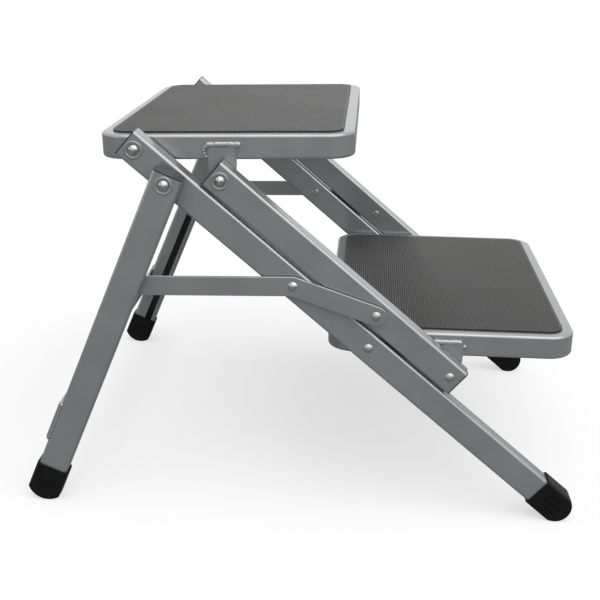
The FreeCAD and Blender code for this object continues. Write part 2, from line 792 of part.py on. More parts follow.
def make_washer(label):
    """A dished washer: a flat seat for the rivet's head inside a raised rim."""
    seat = "-washer_base"
    rim = "washer_radius - washer_rim"
    profile = [
        ("rivet_radius + rivet_play", "0"),
        ("washer_radius", "0"),
        ("washer_radius", "-washer_base / 2"),
        ("washer_radius - washer_rim / 3", "-washer_height"),
        ("washer_radius - 2 * washer_rim / 3", "-washer_height"),
        (rim, seat),
        ("rivet_radius + rivet_play", seat),
    ]
    return make_turned(label, profile)


def place_at(piece, point, outwards):
    """Puts a turned piece on a left-hand pivot with its seat at a distance from the middle."""
    piece.Placement = Placement(Vector(point.x, -value(outwards), point.z), Rotation())


top_pivot = on_rail("0")
top_link = top_pivot + link_step()
leg_pivot = on_rail("leg_pivot_at")
brace_pivot = on_rail("brace_pivot_at")
brace_link = brace_pivot + link_step()
lower_pivot = on_rail("lower_pivot_at")
lower_link = lower_pivot + link_step()

hoop_inner = "(tread_half_width - hoop_width)"
washer_seat = f"({rail_outer} + washer_base)"
leg_washer_seat = f"({leg_outer} + washer_base)"

for name, point, seat, end, dome, tail in (
    ("top_pivot_rivets", top_pivot, washer_seat, hoop_inner, "tall_dome", "tail"),
    ("top_link_rivets", top_link, washer_seat, "tread_half_width", "tall_dome", "tail"),
    ("leg_pivot_rivets", leg_pivot, leg_washer_seat, rail_inner, "tall_dome", "tail_inner"),
    ("brace_pivot_rivets", brace_pivot, brace_outer, rail_inner, "dome", "tail_inner"),
    ("brace_link_rivets", brace_link, brace_outer, rail_inner, "dome", "tail_inner"),
    ("lower_pivot_rivets", lower_pivot, rail_outer, hoop_inner, "dome", "tail"),
    ("lower_link_rivets", lower_link, rail_outer, "tread_half_width", "dome", "tail"),
):
    rivet = make_rivet(f"{name}_one", f"{seat} - {end} + face_play", dome, tail)
    place_at(rivet, point, seat)
    keep_group(name, [rivet])

for name, point, seat in (
    ("top_pivot_washers", top_pivot, rail_outer),
    ("top_link_washers", top_link, rail_outer),
    ("leg_pivot_washers", leg_pivot, leg_outer),
):
    washer = make_washer(f"{name}_one")
    place_at(washer, point, seat)
    keep_group(name, [washer])

# Spacers under the braces and the bush under each rear leg
brace_spacing = "brace_gap - face_play"
for name, point in (("brace_pivot_spacers", brace_pivot), ("brace_link_spacers", brace_link)):
    spacer = make_spacer(f"{name}_one", brace_spacing)
    place_at(spacer, point, f"{brace_inner} - ({brace_spacing}) / 2")
    keep_group(name, [spacer])

bush_length = f"{leg_inner} - {rail_outer} - face_play"
bush = make_spacer("leg_bush", bush_length)
place_at(bush, leg_pivot, f"{leg_inner} - ({bush_length}) / 2")
keep_group("leg_pivot_bushes", [bush])

# Slide studs: peened behind the brace, a collar in front of it, and a head inside the leg
collar_end = "(-brace_thickness - stud_collar)"
head_start = f"(-({leg_inner} - {brace_inner}) - tube_wall - face_play * 4)"
stud_profile = [
    ("0", "stud_peen"),
    ("stud_collar_radius - stud_peen", "stud_peen"),
    ("stud_collar_radius", "0"),
    ("stud_radius", "0"),
    ("stud_radius", "-brace_thickness"),
    ("stud_collar_radius", "-brace_thickness"),
    ("stud_collar_radius", collar_end),
    ("stud_radius", collar_end),
    ("stud_radius", head_start),
    ("stud_head_radius", head_start),
    ("stud_head_radius", f"{head_start} - stud_head"),
    ("0", f"{head_start} - stud_head"),
]
stud = make_turned("slide_stud_left", stud_profile)
place_at(stud, brace_pivot + top_turn.multVec(Vector(-value("brace_reach"), 0, 0)), brace_inner)
keep_pair("slide_stud", stud)


# Checks, then one file for each sub-part

doc.recompute()
for item in doc.Objects:
    if "Invalid" in item.State or "Error" in item.State:
        raise RuntimeError(f"{item.Label} failed: {item.State}")
for label, item in parts.items():
    if item.Shape.isNull() or not item.Shape.isValid() or not item.Shape.Solids:
        raise RuntimeError(f"{label} has no valid solid")

os.makedirs("parts", exist_ok=True)
for label, item in parts.items():
    item.Shape.exportStep(f"parts/{label}.step")

whole = FreeCAD.BoundBox()
for item in parts.values():
    whole.add(item.Shape.BoundBox)
print(f"{len(parts)} sub-parts")
for axis in "XYZ":
    low, high = getattr(whole, f"{axis}Min"), getattr(whole, f"{axis}Max")
    print(f"{axis} {low:.2f} to {high:.2f}")
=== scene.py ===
# %% [markdown]
# # A folding two-tread step
#
# The imported CAD model is the fixed frame of this scene. It already holds every tube, tread, foot
# and rivet at its real size, in metres. Blender adds what CAD leaves out: the finishes, the weld
# beads and rounder washers.

# %% Load the frame
import json
import math
import random

import bpy
from mathutils import Matrix, Vector


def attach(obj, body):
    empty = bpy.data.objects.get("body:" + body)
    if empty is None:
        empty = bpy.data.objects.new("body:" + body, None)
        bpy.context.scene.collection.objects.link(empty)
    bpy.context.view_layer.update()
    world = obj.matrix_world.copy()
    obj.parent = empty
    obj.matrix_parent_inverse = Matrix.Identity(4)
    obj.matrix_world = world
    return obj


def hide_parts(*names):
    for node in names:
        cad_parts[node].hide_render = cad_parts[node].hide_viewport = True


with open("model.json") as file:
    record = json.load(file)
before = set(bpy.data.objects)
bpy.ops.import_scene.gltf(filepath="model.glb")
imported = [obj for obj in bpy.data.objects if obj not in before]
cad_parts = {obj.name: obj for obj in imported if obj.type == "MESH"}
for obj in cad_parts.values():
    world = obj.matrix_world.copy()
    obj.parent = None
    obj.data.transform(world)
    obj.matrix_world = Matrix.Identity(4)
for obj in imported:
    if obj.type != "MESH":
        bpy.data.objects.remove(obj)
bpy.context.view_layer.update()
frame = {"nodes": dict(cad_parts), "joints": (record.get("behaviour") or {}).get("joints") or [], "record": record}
MM = 0.001
print("CAD nodes:", len(frame["nodes"]))

# %% [markdown]
# ## Helpers for finishes
#
# A colour is easiest to note down as a hex value, the way a picture editor shows it. Blender's
# shaders work with linear light, so one function converts it. Another adds a shader node, sets its
# properties and fills its sockets, either with a plain value or with a link from another node. The
# third starts a material with an empty tree.


# %% Colour and node helpers
def srgb(code):
    """Linear RGBA of a colour written as six hex digits."""
    channels = [int(code[start : start + 2], 16) / 255 for start in (0, 2, 4)]
    linear = [c / 12.92 if c <= 0.04045 else ((c + 0.055) / 1.055) ** 2.4 for c in channels]
    return (*linear, 1.0)


def add_node(tree, kind, sockets=None, stops=(), **settings):
    """A new shader node. A socket takes a value or a node's output, a ramp takes (position, hex) stops."""
    node = tree.nodes.new(kind)
    for name, setting in settings.items():
        setattr(node, name, setting)
    for socket, source in (sockets or {}).items():
        if isinstance(source, bpy.types.NodeSocket):
            tree.links.new(source, node.inputs[socket])
        else:
            node.inputs[socket].default_value = source
    for number, (position, code) in enumerate(stops):
        elements = node.color_ramp.elements
        element = elements[number] if number < len(elements) else elements.new(position)
        element.position = position
        element.color = srgb(code)
    return node


def new_finish(name):
    """An empty node material and its tree."""
    material = bpy.data.materials.new(name)
    material.use_nodes = True
    material.node_tree.nodes.clear()
    return material, material.node_tree


print("mid grey in linear light:", round(srgb("808080")[0], 3))

# %% [markdown]
# ## Powder coat
#
# The steel is powder coated in a silver grey. The powder melts into a skin with a faint orange
# peel, about a millimetre and a half from hump to hump, and its thickness varies a little, so the
# grey drifts from place to place. Noise textures on Object coordinates give both, because the CAD
# meshes have no UV map. Aluminium flakes in the powder make the coat partly metallic, which darkens
# upright faces and brightens edges. Real flakes would vanish in the picture, so they are drawn at
# 0.8 mm.

# %% Powder coat finish
PEEL = 1.5 * MM
DRIFT = 45 * MM
FLAKE = 0.8 * MM

powder_coat, tree = new_finish("silver_grey_powder_coat")
place = add_node(tree, "ShaderNodeTexCoord").outputs["Object"]
drift = add_node(tree, "ShaderNodeTexNoise", {"Vector": place, "Scale": 1 / DRIFT, "Detail": 2.0})
tone = add_node(
    tree, "ShaderNodeValToRGB", {"Fac": drift.outputs["Fac"]}, stops=[(0.3, "a5a8a9"), (0.7, "aeb0b1")]
)
flake = add_node(tree, "ShaderNodeTexNoise", {"Vector": place, "Scale": 1 / FLAKE, "Detail": 1.0})
sparkle = add_node(
    tree, "ShaderNodeValToRGB", {"Fac": flake.outputs["Fac"]}, stops=[(0.35, "f4f4f4"), (0.65, "ffffff")]
)
paint = add_node(
    tree,
    "ShaderNodeMix",
    {"Factor": 1.0, 6: tone.outputs["Color"], 7: sparkle.outputs["Color"]},
    data_type="RGBA",
    blend_type="MULTIPLY",
)
peel = add_node(tree, "ShaderNodeTexNoise", {"Vector": place, "Scale": 1 / PEEL, "Detail": 1.0})
skin = add_node(
    tree,
    "ShaderNodeBump",
    {"Strength": 0.06, "Distance": 0.05 * MM, "Height": peel.outputs["Fac"]},
)
gloss = add_node(
    tree, "ShaderNodeMapRange", {"Value": drift.outputs["Fac"], "To Min": 0.22, "To Max": 0.27}
)
shader = add_node(
    tree,
    "ShaderNodeBsdfPrincipled",
    {
        "Base Color": paint.outputs[2],
        "Metallic": 0.62,
        "Roughness": gloss.outputs["Result"],
        "IOR": 1.5,
        "Normal": skin.outputs["Normal"],
    },
)
add_node(tree, "ShaderNodeOutputMaterial", {"Surface": shader.outputs["BSDF"]})
print("powder coat: orange peel of", PEEL / MM, "mm")

# %% [markdown]
# ## Ribbed rubber
#
# Each tread carries a sheet of ribbed rubber. The ribs are real geometry from CAD. The material keeps the rubber's
# grey on the crests, darkens it into the grooves and darkens it further on the cut edge: painted shade in the
# recesses and on the side. Crests, grooves and cut edge differ in height, so the colour follows the height above
# the tread.
# Each tread leans back by its own small angle, and a Mapping node undoes that lean first.

# %% Ribbed rubber finish
TOP_LEAN = math.radians(3.0)
LOWER_LEAN = math.radians(1.4)
MAT_CREST = 12.1 * MM
MAT_GROOVE = 11.3 * MM
MAT_EDGE = 10.7 * MM
SPECK = 0.9 * MM
WEAR = 60 * MM


def joint_place(name):
    """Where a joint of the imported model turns."""
    return Vector(next(joint["pos_m"] for joint in frame["joints"] if joint["name"] == name))


def ribbed_rubber(name, pivot, lean):
    """Rubber whose colour follows the height of the ribs on one tread, darker in the grooves and on the cut edge
    as painted shade.
    """
    material, tree = new_finish(name)
    place = add_node(tree, "ShaderNodeTexCoord").outputs["Object"]
    level = add_node(
        tree,
        "ShaderNodeMapping",
        {"Vector": place, "Location": pivot, "Rotation": (0, -lean, 0)},
        vector_type="TEXTURE",
    )
    height = add_node(tree, "ShaderNodeSeparateXYZ", {"Vector": level.outputs["Vector"]})
    share = add_node(
        tree,
        "ShaderNodeMapRange",
        {"Value": height.outputs["Z"], "From Min": MAT_EDGE, "From Max": MAT_CREST},
    )
    groove = (MAT_GROOVE - MAT_EDGE) / (MAT_CREST - MAT_EDGE)
    # Painted shade: the grooves and, lower still, the cut edge get darker colours than the crests.
    painted_depth_shade = add_node(
        tree,
        "ShaderNodeValToRGB",
        {"Fac": share.outputs["Result"]},
        stops=[(0.0, "0e0e0e"), (groove, "191918"), (1.0, "424240")],
    )
    wear = add_node(tree, "ShaderNodeTexNoise", {"Vector": place, "Scale": 1 / WEAR, "Detail": 4.0})
    wear_tone = add_node(
        tree, "ShaderNodeValToRGB", {"Fac": wear.outputs["Fac"]}, stops=[(0.3, "dcdcdc"), (0.7, "ffffff")]
    )
    # Random wear tone multiplies the painted shade of grooves and edge.
    worn_and_painted_shade = add_node(
        tree,
        "ShaderNodeMix",
        {"Factor": 1.0, 6: painted_depth_shade.outputs["Color"], 7: wear_tone.outputs["Color"]},
        data_type="RGBA",
        blend_type="MULTIPLY",
    )
    speck = add_node(tree, "ShaderNodeTexNoise", {"Vector": place, "Scale": 1 / SPECK, "Detail": 2.0})
    tooth = add_node(
        tree,
        "ShaderNodeBump",
        {"Strength": 0.3, "Distance": 0.1 * MM, "Height": speck.outputs["Fac"]},
    )
    dull = add_node(
        tree, "ShaderNodeMapRange", {"Value": wear.outputs["Fac"], "To Min": 0.4, "To Max": 0.56}
    )
    shader = add_node(
        tree,
        "ShaderNodeBsdfPrincipled",
        {
            "Base Color": worn_and_painted_shade.outputs[2],
            "Roughness": dull.outputs["Result"],
            "IOR": 1.52,
            "Normal": tooth.outputs["Normal"],
        },
    )
    add_node(tree, "ShaderNodeOutputMaterial", {"Surface": shader.outputs["BSDF"]})
    return material


top_rubber = ribbed_rubber("ribbed_rubber_upper", joint_place("fold"), TOP_LEAN)
lower_rubber = ribbed_rubber("ribbed_rubber_lower", joint_place("lower_fold"), LOWER_LEAN)
print("ribbed rubber on", top_rubber.name, "and", lower_rubber.name)

# %% [markdown]
# ## Moulded black rubber and plastic
#
# The feet are moulded in soft black PVC and the end plugs in black polyethylene. Both come out of a
# spark-eroded mould, which leaves an even, very fine grain. They differ in gloss and in how black
# they are, so one function makes both from a few values. Soft PVC scatters its reflections, so its
# specular level is low.

# %% Feet and plug finishes
MOULD_GRAIN = 0.7 * MM
SCUFF = 9 * MM
SCUFF_SPREAD = 0.06


def moulded_black(name, dark, light, rough, ior, mirror):
    """A moulded black surface with fine grain and faint grey scuffs."""
    material, tree = new_finish(name)
    place = add_node(tree, "ShaderNodeTexCoord").outputs["Object"]
    scuff = add_node(tree, "ShaderNodeTexNoise", {"Vector": place, "Scale": 1 / SCUFF, "Detail": 5.0})
    tone = add_node(
        tree, "ShaderNodeValToRGB", {"Fac": scuff.outputs["Fac"]}, stops=[(0.4, dark), (0.75, light)]
    )
    grain = add_node(tree, "ShaderNodeTexNoise", {"Vector": place, "Scale": 1 / MOULD_GRAIN, "Detail": 1.0})
    skin = add_node(
        tree,
        "ShaderNodeBump",
        {"Strength": 0.25, "Distance": 0.05 * MM, "Height": grain.outputs["Fac"]},
    )
    gloss = add_node(
        tree,
        "ShaderNodeMapRange",
        {"Value": scuff.outputs["Fac"], "To Min": rough - SCUFF_SPREAD, "To Max": rough + SCUFF_SPREAD},
    )
    shader = add_node(
        tree,
        "ShaderNodeBsdfPrincipled",
        {
            "Base Color": tone.outputs["Color"],
            "Roughness": gloss.outputs["Result"],
            "IOR": ior,
            "Specular IOR Level": mirror,
            "Normal": skin.outputs["Normal"],
        },
    )
    add_node(tree, "ShaderNodeOutputMaterial", {"Surface": shader.outputs["BSDF"]})
    return material


foot_pvc = moulded_black("moulded_black_pvc", "070707", "121212", 0.5, 1.53, 0.2)
plug_plastic = moulded_black("moulded_black_polyethylene", "242422", "363532", 0.35, 1.51, 0.5)
print("moulded blacks:", foot_pvc.name, plug_plastic.name)

# %% [markdown]
# ## Zinc plate
#
# Rivets, spacers and studs are zinc-plated steel. Plating leaves the metal bright, and tumbling the
# rivets in a drum leaves small dents that break up the reflections. It is a metal, so the colour
# sits in the reflection itself. Three of the lower rivets on each side have a duller plate than the
# rest, so one function makes both.

# %% Zinc finishes
DENT = 2.2 * MM


def zinc_plate(name, dark, light, smooth, rough):
    """Plated steel whose small dents differ in tone and polish."""
    material, tree = new_finish(name)
    place = add_node(tree, "ShaderNodeTexCoord").outputs["Object"]
    dent = add_node(tree, "ShaderNodeTexNoise", {"Vector": place, "Scale": 1 / DENT, "Detail": 2.0})
    uneven = dent.outputs["Fac"]
    plate = add_node(tree, "ShaderNodeValToRGB", {"Fac": uneven}, stops=[(0.3, dark), (0.7, light)])
    dimple = add_node(
        tree, "ShaderNodeBump", {"Strength": 0.12, "Distance": 0.1 * MM, "Height": uneven}
    )
    polish = add_node(
        tree, "ShaderNodeMapRange", {"Value": uneven, "To Min": smooth, "To Max": rough}
    )
    shader = add_node(
        tree,
        "ShaderNodeBsdfPrincipled",
        {
            "Base Color": plate.outputs["Color"],
            "Metallic": 1.0,
            "Roughness": polish.outputs["Result"],
            "Normal": dimple.outputs["Normal"],
        },
    )
    add_node(tree, "ShaderNodeOutputMaterial", {"Surface": shader.outputs["BSDF"]})
    return material


bright_zinc = zinc_plate("bright_zinc_plate", "9ea0a2", "bec0c2", 0.1, 0.24)
dull_zinc = zinc_plate("dull_zinc_plate", "a2a2a0", "b6b6b4", 0.3, 0.46)
print("zinc dents of", DENT / MM, "mm on", bright_zinc.name, "and", dull_zinc.name)

# %% [markdown]
# ## Hand out the finishes
#
# The record names a material slot for every CAD node. Each slot gets its finish from a small table.
# A second table holds the exceptions: the mats, because each one reads the height above its own
# tread, and the duller rivets.

# %% Assign the finishes
SLOT_FINISH = {
    "grey_paint": powder_coat,
    "foot_rubber": foot_pvc,
    "plug_plastic": plug_plastic,
    "zinc_steel": bright_zinc,
}
NODE_FINISH = {
    "top_step_mat": top_rubber,
    "lower_step_mat": lower_rubber,
    "brace_link_rivets": dull_zinc,
    "lower_pivot_rivets": dull_zinc,
    "lower_link_rivets": dull_zinc,
}

slot_of = {part["node"]: part["material_slot"] for part in frame["record"]["subparts"]}
for name, node in frame["nodes"].items():
    finish = NODE_FINISH.get(name) or SLOT_FINISH[slot_of[name]]
    node.data.materials.clear()
    node.data.materials.append(finish)
print("finished nodes:", len(frame["nodes"]))

# %% [markdown]
# ## Bare steel and painted shade inside the rear legs
#
# Powder hardly gets into a tube, so the inside of the rear legs stays bare steel. Its dark grey also stands for
# the shade inside the tube, so it is partly painted shade. It shows through the guide slots. In the leg's own axes
# a face is inside when it lies deeper than most of the wall on both sides, which leaves the coat on the cut edges
# of the slot.

# %% Bare steel finish, darkened as painted shade
SCALE_PATCH = 14 * MM

bare_steel_and_painted_shade, tree = new_finish("bare_steel_with_painted_shade")
place = add_node(tree, "ShaderNodeTexCoord").outputs["Object"]
patch = add_node(tree, "ShaderNodeTexNoise", {"Vector": place, "Scale": 1 / SCALE_PATCH, "Detail": 3.0})
# Dark grey for bare steel, made darker as painted shade inside the tube.
tone = add_node(
    tree, "ShaderNodeValToRGB", {"Fac": patch.outputs["Fac"]}, stops=[(0.3, "4a4947"), (0.7, "5e5c5a")]
)
dull = add_node(tree, "ShaderNodeMapRange", {"Value": patch.outputs["Fac"], "To Min": 0.5, "To Max": 0.7})
shader = add_node(
    tree,
    "ShaderNodeBsdfPrincipled",
    {"Base Color": tone.outputs["Color"], "Metallic": 0.3, "Roughness": dull.outputs["Result"]},
)
add_node(tree, "ShaderNodeOutputMaterial", {"Surface": shader.outputs["BSDF"]})
print("bare steel:", bare_steel_and_painted_shade.name)

# %% Insides of the legs
LEG_ANGLE = math.radians(111.05)
LEG_BACK = 15 * MM
LEG_INNER = 221.3 * MM
LEG_OUTER = 239.3 * MM
INSIDE = 1.2 * MM  # most of the 1.5 mm wall

leg_place = Matrix.Translation(joint_place("leg_fold")) @ Matrix.Rotation(LEG_ANGLE, 4, "Y")
to_leg = leg_place.inverted()
for name in ("rear_leg_left", "rear_leg_right"):
    leg = frame["nodes"][name].data
    leg.materials.append(bare_steel_and_painted_shade)
    for face in leg.polygons:
        spot = to_leg @ face.center
        deep = LEG_INNER + INSIDE < abs(spot.y) < LEG_OUTER - INSIDE and abs(spot.z) < LEG_BACK - INSIDE
        face.material_index = int(deep)
    print(name, sum(face.material_index for face in leg.polygons), "bare faces of", len(leg.polygons))

# %% [markdown]
# ## Weld beads
#
# The brackets are welded to the tread frames, and the stretcher to the rear legs. A bead is a row
# of small puddles that froze one after the other, each lapping over the last. So a bead starts as a
# row of flattened spheres, a bit uneven in size and place. A voxel remesh melts them into one skin,
# and a smoothing pass rounds off the laps.

# %% Bead helper
DAB_SIZES = (0.93, 1.07)
DAB_STRAY = 0.08
BEAD_VOXEL = 0.35 * MM
BEAD_SMOOTHING = 12


def lay_bead(name, path, radius, squeeze, facing, seed):
    """One weld bead along a list of (point, size), flattened by squeeze along the facing direction."""
    uneven = random.Random(seed)
    bpy.ops.object.select_all(action="DESELECT")
    dabs = []
    for point, size in path:
        wide = radius * size * uneven.uniform(*DAB_SIZES)
        stray = Vector((uneven.uniform(-1, 1), 0, uneven.uniform(-1, 1))) * DAB_STRAY * radius
        bpy.ops.mesh.primitive_uv_sphere_add(
            segments=16, ring_count=10, radius=wide, location=point + stray
        )
        dab = bpy.context.object
        dab.rotation_mode = "QUATERNION"
        dab.rotation_quaternion = facing.to_track_quat("Z", "Y")
        dab.scale = (1.0, 1.0, squeeze)
        dabs.append(dab)
    for dab in dabs:
        dab.select_set(True)
    bpy.context.view_layer.objects.active = dabs[0]
    bpy.ops.object.join()
    bpy.ops.object.transform_apply(location=True, rotation=True, scale=True)
    bead = bpy.context.object
    bead.name = name
    melt = bead.modifiers.new("melt", "REMESH")
    melt.mode = "VOXEL"
    melt.voxel_size = BEAD_VOXEL
    bpy.ops.object.modifier_apply(modifier="melt")
    soften = bead.modifiers.new("soften", "SMOOTH")
    soften.factor = 0.5
    soften.iterations = BEAD_SMOOTHING
    bpy.ops.object.modifier_apply(modifier="soften")
    bpy.ops.object.shade_smooth()
    bead.data.materials.append(powder_coat)
    return bead


def copy_piece(piece, name, move):
    """A copy with its own mesh, moved or mirrored in place."""
    copy = piece.copy()
    copy.data = piece.data.copy()
    copy.name = name
    bpy.context.collection.objects.link(copy)
    copy.data.transform(move)
    if move.determinant() < 0:
        copy.data.flip_normals()
    return copy


MIRROR = Matrix.Scale(-1, 4, (0, 1, 0))
print("bead helpers ready")

# %% [markdown]
# ## Beads on the brackets
#
# Each bracket is a flat tongue that lies on the side of the tread frame. The welder ran one thick
# bead along its top edge and left a few smaller dabs down the sides. On the upper tread the bead
# runs past both corners. On the lower one it stops short of the front corner, and a loose dab sits
# there. Each bead is modelled once, on the left, and mirrored to the right.

# %% Bracket bead helper
HOOP_SIDE = 188 * MM
BEAD_RADIUS = 3.3 * MM
BEAD_STEP = 1.9 * MM
BEAD_STAND = 1.1 * MM
BRACKET_SQUEEZE = 0.6


def bracket_bead(name, bracket, line, dabs, seed):
    """A bead on one left bracket: a line of (start, end, height) and dabs of (x, z, size), all in mm."""
    start, end, height = line
    count = round((end - start) * MM / BEAD_STEP)
    spots = [(start + (end - start) * step / count, height, 1.0) for step in range(count + 1)]
    path = []
    for x, z, size in spots + dabs:
        point = bracket @ Vector((x * MM, 0, z * MM))
        point.y = -(HOOP_SIDE + BEAD_STAND * size)
        path.append((point, size))
    return lay_bead(name, path, BEAD_RADIUS, BRACKET_SQUEEZE, Vector((0, -1, 0)), seed)


print("bracket beads of", BEAD_RADIUS / MM, "mm radius")

# %% Bracket beads
UPPER_LINE = (-13.6, 15.8, 30.6)
UPPER_DABS = [(-16.8, 28.0, 0.7), (-17.8, 25.0, 0.65), (-17.2, 21.8, 0.65), (-16.2, 18.8, 0.6)]
LOWER_LINE = (-15.0, 9.8, 28.6)
LOWER_DABS = [(-15.6, 26.0, 0.7), (-15.2, 23.2, 0.6), (15.2, 24.4, 0.85)]

fold_place = joint_place("fold")
link_place = joint_place("link_swing")
top_bracket = Matrix.Translation(link_place) @ Matrix.Rotation(-TOP_LEAN, 4, "Y")
lower_bracket = Matrix.Translation(joint_place("lower_fold") + link_place - fold_place)
lower_bracket = lower_bracket @ Matrix.Rotation(-LOWER_LEAN, 4, "Y")

upper_left = bracket_bead("bracket_bead_upper_left", top_bracket, UPPER_LINE, UPPER_DABS, seed=3)
lower_left = bracket_bead("bracket_bead_lower_left", lower_bracket, LOWER_LINE, LOWER_DABS, seed=5)
upper_right = copy_piece(upper_left, "bracket_bead_upper_right", MIRROR)
lower_right = copy_piece(lower_left, "bracket_bead_lower_right", MIRROR)
for bead, body in (
    (upper_left, "top_step"),
    (upper_right, "top_step"),
    (lower_left, "lower_step"),
    (lower_right, "lower_step"),
):
    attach(bead, body)
    print(bead.name, len(bead.data.polygons), "faces")

# %% [markdown]
# ## Beads on the stretcher
#
# The flat bar across the rear legs is welded to the back of each leg. The bead runs along the bar's
# upper edge, down its end, where it fills the groove beside the leg's rounded corner, and back
# along the lower edge. It swells into a blob at both outer corners, where the welder turned.

# %% Stretcher bead path
BAR_TOP = 258 * MM
BAR_BOTTOM = 298 * MM
STRETCHER_RADIUS = 2.5 * MM
STRETCHER_SQUEEZE = 0.8
EDGE_INSET = 1.5 * MM
EDGE_OVERHANG = 0.4 * MM
EDGE_STAND = 0.8 * MM
EDGE_SIZE = 0.85
END_INSET = 0.7 * MM
END_SINK = 0.4 * MM
END_SIZE = 0.7
CORNER_BLOBS = [(0.0, 2.6, 1.4, 1.1), (2.4, 2.8, 0.6, 0.9)]  # outwards, inset and stand in mm, size

backwards = leg_place.to_3x3() @ Vector((0, 0, -1))
edge_count = round((LEG_OUTER - LEG_INNER - STRETCHER_RADIUS) / BEAD_STEP)
end_count = round((BAR_BOTTOM - BAR_TOP) / BEAD_STEP)
across = [LEG_INNER + EDGE_INSET + step * BEAD_STEP for step in range(edge_count)]
edge_back = LEG_BACK + EDGE_STAND

spots = [(BAR_TOP - EDGE_OVERHANG, side, edge_back, EDGE_SIZE) for side in across]
for step in range(end_count + 1):
    along = BAR_TOP + (BAR_BOTTOM - BAR_TOP) * step / end_count
    spots.append((along, LEG_OUTER - END_INSET, LEG_BACK - END_SINK, END_SIZE))
spots += [(BAR_BOTTOM + EDGE_OVERHANG, side, edge_back, EDGE_SIZE) for side in reversed(across)]
for corner, way in ((BAR_TOP, -1), (BAR_BOTTOM, 1)):
    for outwards, inset, stand, size in CORNER_BLOBS:
        spots.append(
            (corner + outwards * MM * way, LEG_OUTER - inset * MM, LEG_BACK + stand * MM, size)
        )
path = [(leg_place @ Vector((along, -side, -back)), size) for along, side, back, size in spots]
print("stretcher bead of", len(path), "dabs")

# %% Stretcher beads
stretcher_left = lay_bead(
    "stretcher_bead_left", path, STRETCHER_RADIUS, STRETCHER_SQUEEZE, backwards, seed=11
)
stretcher_right = copy_piece(stretcher_left, "stretcher_bead_right", MIRROR)
for bead in (stretcher_left, stretcher_right):
    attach(bead, "rear_legs")
print("stretcher bead:", len(stretcher_left.data.polygons), "faces")

# %% [markdown]
# ## Dished washers
#
# Three rivets on each side sit in a dished washer, a pressed ring with a thick rounded rim. The CAD
# model gives it flat slopes, which catch no light, so a rounder one takes its place here. A washer
# is a turned shape: one half of its section is drawn and spun about the rivet's axis. The rim's
# section is a small rectangle with round corners, and a flat strip beside it is the seat under the
# rivet's head.

# %% Washer section
WASHER_RADIUS = 8.8 * MM
WASHER_HEIGHT = 1.7 * MM
RIM_WIDTH = 2.1 * MM
RIM_ROUND = 0.75 * MM
SEAT_HEIGHT = 0.8 * MM
RIVET_RADIUS = 4.05 * MM
WASHER_STEPS = 72

bpy.ops.object.select_all(action="DESELECT")
rim_middle = (WASHER_RADIUS - RIM_WIDTH / 2, -WASHER_HEIGHT / 2, 0)
bpy.ops.mesh.primitive_plane_add(size=1, location=rim_middle)
washer = bpy.context.object
washer.name = "dished_washer"
washer.scale = (RIM_WIDTH, WASHER_HEIGHT, 1)
bpy.ops.object.transform_apply(location=True, rotation=True, scale=True)
bpy.ops.object.mode_set(mode="EDIT")
bpy.ops.mesh.select_all(action="SELECT")
bpy.ops.mesh.bevel(offset=RIM_ROUND, segments=5, affect="VERTICES")
print("rim of", RIM_WIDTH / MM, "by", WASHER_HEIGHT / MM, "mm")

# %% Washer seat
seat_inner, seat_outer = RIVET_RADIUS, WASHER_RADIUS - RIM_WIDTH / 2
seat_middle = ((seat_inner + seat_outer) / 2, -SEAT_HEIGHT / 2, 0)
bpy.ops.mesh.select_all(action="DESELECT")
bpy.ops.mesh.primitive_plane_add(size=1, location=seat_middle)
seat_size = (seat_outer - seat_inner, SEAT_HEIGHT, 1)
bpy.ops.transform.resize(value=seat_size, center_override=seat_middle)
print("seat", SEAT_HEIGHT / MM, "mm thick")

# %% Spin the washer
bpy.ops.mesh.select_all(action="SELECT")
bpy.ops.mesh.delete(type="ONLY_FACE")
bpy.ops.mesh.select_all(action="SELECT")
bpy.ops.mesh.spin(steps=WASHER_STEPS, angle=2 * math.pi, center=(0, 0, 0), axis=(0, 1, 0))
bpy.ops.mesh.select_all(action="SELECT")
bpy.ops.mesh.remove_doubles(threshold=0.001 * MM)
bpy.ops.mesh.normals_make_consistent(inside=False)
bpy.ops.object.mode_set(mode="OBJECT")
bpy.ops.object.shade_smooth_by_angle(angle=math.radians(35))
washer.data.materials.append(powder_coat)
print("washer:", len(washer.data.polygons), "faces")

# %% [markdown]
# The washer is copied to both sides of each of the three pivots. The two copies on one pivot are
# joined, because they replace one CAD node.

# %% Seat the washers
RAIL_OUTER = 213.2 * MM


def seat_washers(name, pivot, outwards):
    """A washer on each side of the step, on one pivot."""
    left = copy_piece(washer, name, Matrix.Translation((pivot.x, -outwards, pivot.z)))
    right = copy_piece(left, f"{name}_right", MIRROR)
    bpy.ops.object.select_all(action="DESELECT")
    right.select_set(True)
    left.select_set(True)
    bpy.context.view_layer.objects.active = left
    bpy.ops.object.join()
    return left


for node, body, pivot, outwards in (
    ("top_pivot_washers", "front_legs", fold_place, RAIL_OUTER),
    ("top_link_washers", "link_rails", link_place, RAIL_OUTER),
    ("leg_pivot_washers", "rear_legs", joint_place("leg_fold"), LEG_OUTER),
):
    pair = seat_washers(f"rounded_{node}", pivot, outwards)
    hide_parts(node)
    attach(pair, body)
    print(pair.name, len(pair.data.polygons), "faces")
bpy.data.objects.remove(washer)

# %% [markdown]
# ## Floor
#
# The step stands on a plain white studio floor. A white floor would throw so much light up that the
# undersides lose their shade, so its material asks Light Path what kind of ray arrives. The camera
# sees it white with a soft shadow. Light that bounces off it on its way to the step finds a mid
# grey, and reflections see that grey a little paler.

# %% Studio floor
FLOOR_BOUNCE = "8a8a8a"
FLOOR_SEEN = "b4b4b4"
FLOOR_GLOW = 0.6
FLOOR_MIRRORED = 0.1


